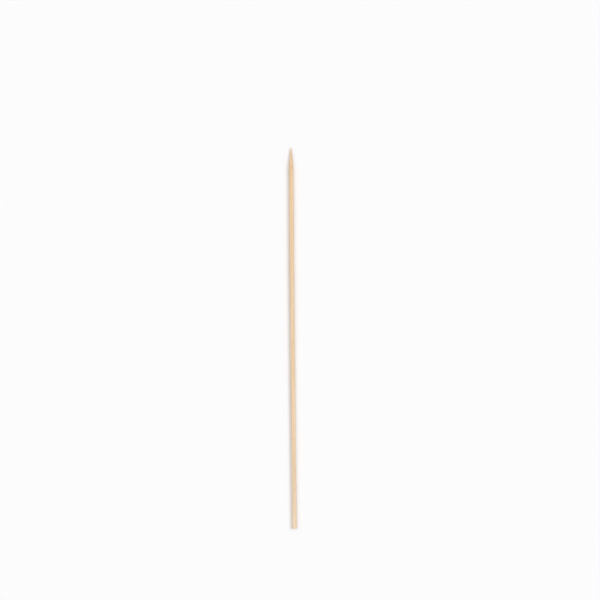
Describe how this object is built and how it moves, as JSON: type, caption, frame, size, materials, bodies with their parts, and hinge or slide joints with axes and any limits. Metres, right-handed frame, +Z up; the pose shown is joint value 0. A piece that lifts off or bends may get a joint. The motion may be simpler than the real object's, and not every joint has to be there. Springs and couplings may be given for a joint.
{
  "type": "wooden skewer",
  "caption": "Slim round bamboo stick with a long ground point at one end and a square sawn end, for threading and holding food.",
  "frame": {"origin": "centre of the sawn blunt end, on the stick's axis", "axes": "+Y along the stick from the sawn end to the point, +Z up with the stick lying level"},
  "size_m": [0.003, 0.25, 0.003],
  "materials": {
    "bamboo": "matte"
  },
  "bodies": {
    "root": {"skewer": "bamboo"}
  },
  "joints": []
}
